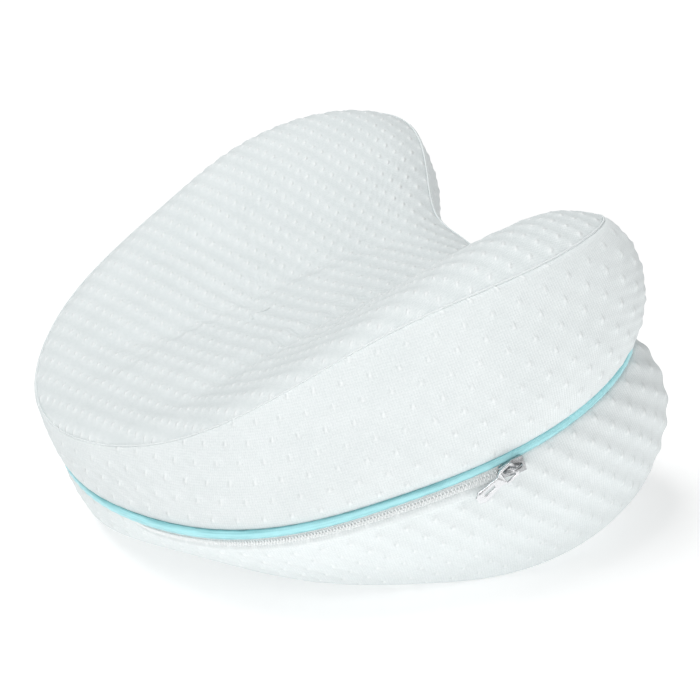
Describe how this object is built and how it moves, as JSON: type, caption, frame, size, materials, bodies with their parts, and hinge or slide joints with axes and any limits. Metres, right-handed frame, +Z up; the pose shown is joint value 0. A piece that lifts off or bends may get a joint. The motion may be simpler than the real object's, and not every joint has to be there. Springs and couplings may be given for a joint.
{
  "type": "knee pillow",
  "caption": "Heart-shaped knee pillow with a rounded leg saddle above and below, quilted white cover, turquoise waist piping and a side zip.",
  "frame": {"origin": "middle of the footprint's box, on the surface the pillow rests on", "axes": "+Z up; X runs across the leg saddle, +X on the zip side; Y runs along the saddle, +Y at the notched end"},
  "size_m": [0.2572, 0.228, 0.1345],
  "materials": {
    "band_cloth": "matte quilted knit",
    "panel_cloth": "matte quilted knit",
    "piping": "satin",
    "zip_coil": "satin",
    "zip_metal": "polished"
  },
  "bodies": {
    "root": {"pillow_body": "band_cloth", "top_panel": "panel_cloth", "bottom_panel": "panel_cloth", "waist_piping": "piping", "zip_chain": "zip_coil", "zip_slider": "zip_metal", "zip_pull": "zip_metal"}
  },
  "joints": []
}
